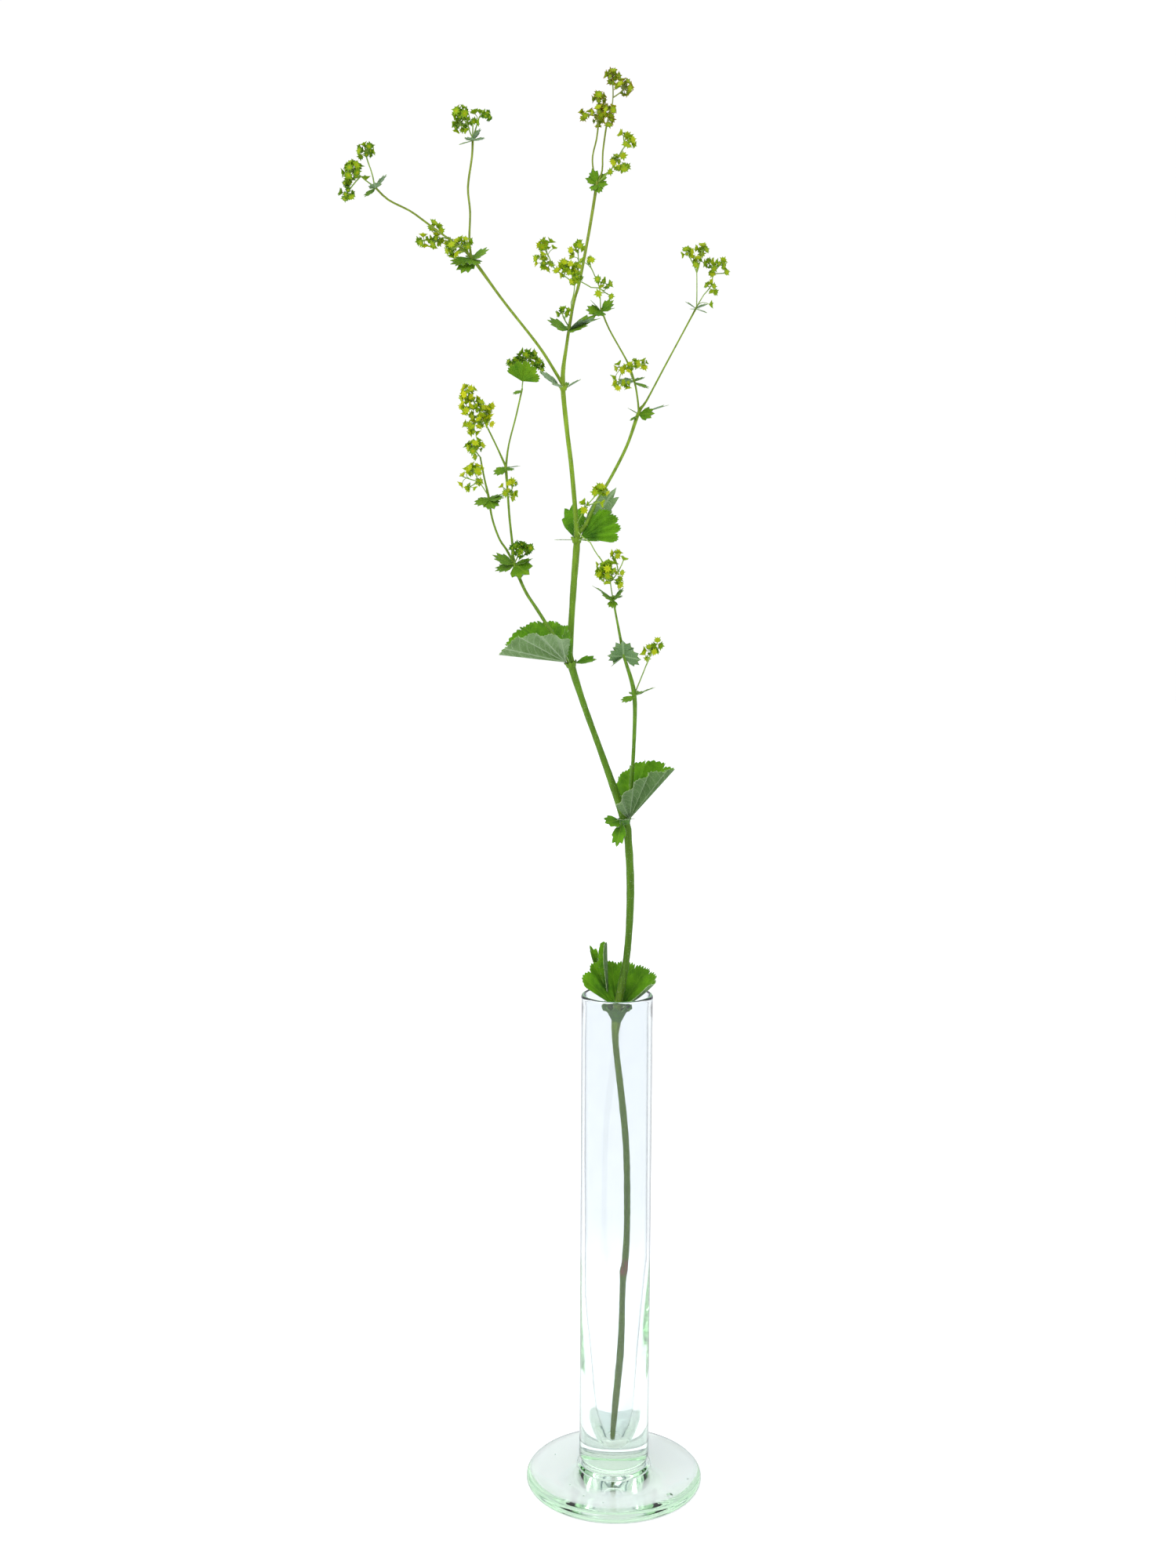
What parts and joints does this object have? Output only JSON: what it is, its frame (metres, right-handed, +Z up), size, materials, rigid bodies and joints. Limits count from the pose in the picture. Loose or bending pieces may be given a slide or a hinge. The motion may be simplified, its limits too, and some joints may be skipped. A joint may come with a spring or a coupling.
{
  "type": "flower stem in vase",
  "caption": "Cut stem of green lady's mantle flowers with toothed leaves, resting in a tall clear glass tube vase on a round foot.",
  "frame": {"origin": "centre of the underside of the vase's foot", "axes": "+Z up along the vase, +X to the right and +Y away from the viewer as pictured"},
  "size_m": [0.1779, 0.1015, 0.6845],
  "materials": {
    "bottle_glass": "clear smooth glass with a faint green cast in the thick base",
    "stem_green": "living green stem, satin, with fine pale hairs",
    "leaf_green": "living leaf, matte, with a silvery underside",
    "flower_green": "living yellow-green flowers, matte"
  },
  "bodies": {
    "root": {"vase": "bottle_glass", "stem": "stem_green", "leaf_1": "leaf_green", "leaf_2": "leaf_green", "leaf_3": "leaf_green", "leaf_4": "leaf_green", "leaf_5": "leaf_green", "spray_far_left": "flower_green", "spray_left_top": "flower_green", "spray_left_fork": "flower_green", "spray_fork_side": "flower_green", "spray_crown_left": "flower_green", "spray_crown_right": "flower_green", "spray_crown_side": "flower_green", "spray_axis": "flower_green", "spray_axis_bud": "flower_green", "spray_curl": "flower_green", "spray_right_top": "flower_green", "spray_right_low": "flower_green", "spray_fan": "flower_green", "spray_gold": "flower_green", "spray_tight": "flower_green", "spray_loose": "flower_green", "spray_shoot": "flower_green", "spray_fork": "flower_green", "spray_high": "flower_green", "spray_hanging": "flower_green", "spray_low_top": "flower_green", "spray_low_side": "flower_green"}
  },
  "joints": []
}
